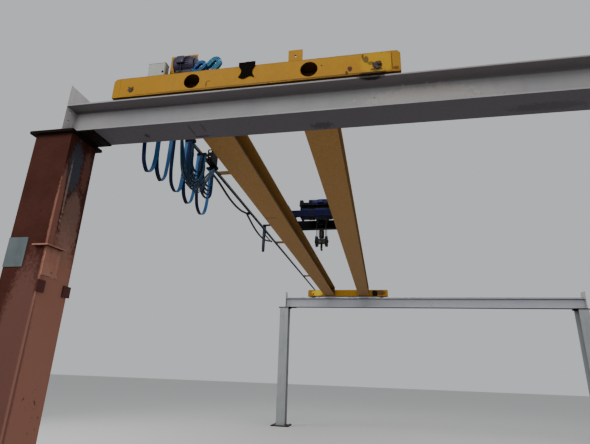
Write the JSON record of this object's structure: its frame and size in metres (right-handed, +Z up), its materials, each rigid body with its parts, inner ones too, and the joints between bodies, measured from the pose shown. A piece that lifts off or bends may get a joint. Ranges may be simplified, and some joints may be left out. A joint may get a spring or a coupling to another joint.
{
  "type": "double girder overhead travelling crane on a one bay runway",
  "caption": "Top running bridge crane: two runways on columns, two girders on end carriages, hoist trolley, hook block and festoon cables.",
  "frame": {"origin": "on the floor, midway between the four columns", "axes": "+X along the runways, +Y along the girders from the near row to the far row, +Z up"},
  "size_m": [9.985, 12.16, 4.78],
  "materials": {
    "column_red": "worn primer",
    "column_grey": "satin paint",
    "runway_grey": "satin paint",
    "dark_plate": "mill scale",
    "rail_steel": "rolled, worn bright on top",
    "carriage_yellow": "worn gloss paint",
    "girder_yellow": "dusty paint",
    "wheel_iron": "rusted",
    "steel_dark": "oiled",
    "hoist_blue": "satin paint",
    "motor_violet": "satin paint",
    "box_grey": "satin paint",
    "track_steel": "galvanised",
    "black_plastic": "moulded",
    "rope_steel": "greased wire",
    "cable_blue": "extruded",
    "cable_black": "extruded"
  },
  "bodies": {
    "runway": {"near_columns": "column_red", "far_columns": "column_grey", "base_plates": "dark_plate", "cap_plates": "dark_plate", "seat_plates": "dark_plate", "column_cleat": "column_red", "column_lugs": "column_red", "column_side_plate": "runway_grey", "near_runway": "runway_grey", "far_runway": "runway_grey", "crane_rails": "rail_steel", "end_stops": "runway_grey"},
    "bridge": {"near_carriage": "carriage_yellow", "far_carriage": "carriage_yellow", "carriage_ends": "carriage_yellow", "travel_axles": "wheel_iron", "left_girder": "girder_yellow", "right_girder": "girder_yellow", "girder_end_plates": "girder_yellow", "trolley_rails": "rail_steel", "left_end_bracket": "carriage_yellow", "right_end_bracket": "carriage_yellow", "control_box": "box_grey", "near_travel_motor": "motor_violet", "far_travel_motor": "steel_dark", "festoon_track": "track_steel", "track_arms": "girder_yellow", "festoon_carriers": "black_plastic", "junction_box": "black_plastic", "festoon_loops": "cable_blue", "festoon_bunch": "cable_blue", "festoon_lead": "cable_black", "cable_bundle": "cable_blue"},
    "left_wheels": {"left_travel_wheels": "wheel_iron"},
    "right_wheels": {"right_travel_wheels": "wheel_iron"},
    "runner": {"festoon_runner": "black_plastic"},
    "trolley": {"trolley_cable": "cable_black", "trolley_frame": "steel_dark", "trolley_axles": "wheel_iron", "drum_bearings": "steel_dark", "hoist_gearbox": "steel_dark", "hoist_motor": "hoist_blue", "tow_arm": "steel_dark", "hoist_ropes": "rope_steel"},
    "front_wheelset": {"front_trolley_wheels": "wheel_iron"},
    "rear_wheelset": {"rear_trolley_wheels": "wheel_iron"},
    "drum": {"rope_drum": "hoist_blue"},
    "block": {"hook_block": "steel_dark"},
    "sheaves": {"block_sheaves": "steel_dark"},
    "hook": {"hook": "steel_dark"},
    "latch": {"hook_latch": "steel_dark"}
  },
  "joints": [
    {"name": "bridge_travel", "type": "slide", "parent": "runway", "child": "bridge", "axis": [1, 0, 0], "range_m": [-0.39, 5.76]},
    {"name": "left_wheel_roll", "type": "hinge", "parent": "bridge", "child": "left_wheels", "pos_m": [-3.735, 0, 4.0803], "axis": [0, 1, 0], "range_deg": [-225, 3302]},
    {"name": "right_wheel_roll", "type": "hinge", "parent": "bridge", "child": "right_wheels", "pos_m": [-1.465, 0, 4.0803], "axis": [0, 1, 0], "range_deg": [-225, 3302]},
    {"name": "trolley_travel", "type": "slide", "parent": "bridge", "child": "trolley", "axis": [0, 1, 0], "range_m": [-3.1, 5.9]},
    {"name": "runner_travel", "type": "slide", "parent": "bridge", "child": "runner", "axis": [0, 1, 0], "range_m": [-1.55, 2.95]},
    {"name": "front_wheel_roll", "type": "hinge", "parent": "trolley", "child": "front_wheelset", "pos_m": [-2.62, -1.375, 4.4193], "axis": [1, 0, 0], "range_deg": [-4227, 2222]},
    {"name": "rear_wheel_roll", "type": "hinge", "parent": "trolley", "child": "rear_wheelset", "pos_m": [-2.62, -0.475, 4.4193], "axis": [1, 0, 0], "range_deg": [-4227, 2222]},
    {"name": "hoist", "type": "slide", "parent": "trolley", "child": "block", "axis": [0, 0, 1], "range_m": [-3.3, 0.05], "deforming": ["hoist_ropes"]},
    {"name": "drum_turn", "type": "hinge", "parent": "trolley", "child": "drum", "pos_m": [-2.59, -1.1416, 4.49], "axis": [1, 0, 0], "range_deg": [-3261, 51]},
    {"name": "sheave_turn", "type": "hinge", "parent": "block", "child": "sheaves", "pos_m": [-2.59, -0.925, 4], "axis": [1, 0, 0], "range_deg": [-30, 1887]},
    {"name": "hook_swivel", "type": "hinge", "parent": "block", "child": "hook", "pos_m": [-2.59, -0.925, 4], "axis": [0, 0, 1], "continuous": true},
    {"name": "latch_hinge", "type": "hinge", "parent": "hook", "child": "latch", "pos_m": [-2.59, -0.891, 3.908], "axis": [-1, 0, 0], "range_deg": [0, 34], "stiffness_Nm_per_rad": 0.6, "springref_deg": -11.46}
  ],
  "couplings": [
    {"joint": "runner_travel", "follows": "trolley_travel", "ratio": 0.5},
    {"joint": "left_wheel_roll", "follows": "bridge_travel", "rad_per_m": 10},
    {"joint": "right_wheel_roll", "follows": "bridge_travel", "rad_per_m": 10},
    {"joint": "front_wheel_roll", "follows": "trolley_travel", "rad_per_m": -12.5},
    {"joint": "rear_wheel_roll", "follows": "trolley_travel", "rad_per_m": -12.5},
    {"joint": "drum_turn", "follows": "hoist", "rad_per_m": 17.241},
    {"joint": "sheave_turn", "follows": "hoist", "rad_per_m": -9.9701}
  ]
}
